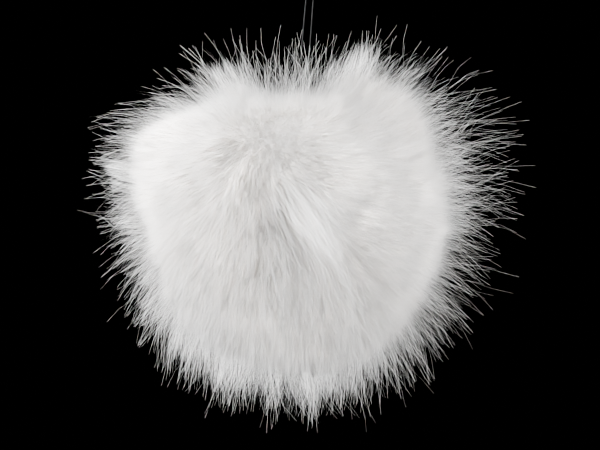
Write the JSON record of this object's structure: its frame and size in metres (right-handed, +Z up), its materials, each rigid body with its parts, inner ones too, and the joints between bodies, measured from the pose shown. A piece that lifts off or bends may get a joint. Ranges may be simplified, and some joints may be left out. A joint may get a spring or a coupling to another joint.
{
  "type": "pom pom",
  "caption": "Ball of long white pile, drawn in at the top where a thin doubled thread carries it, with soft pointed locks standing out all round.",
  "frame": {"origin": "crown of the thread's loop, the point that the pom pom hangs from; the middle of the ball is 69.5 mm straight below it", "axes": "+Z up along the hanging thread, +X to the right and -Y towards the viewer, seen from the front"},
  "size_m": [0.1237, 0.1124, 0.1233],
  "materials": {
    "white_pile": "long fine glossy hairs, white, a little warmer towards their roots",
    "clear_thread": "smooth clear monofilament that reads as pale grey"
  },
  "bodies": {
    "root": {"pom_pom": "white_pile", "hanging_thread": "clear_thread"}
  },
  "joints": []
}
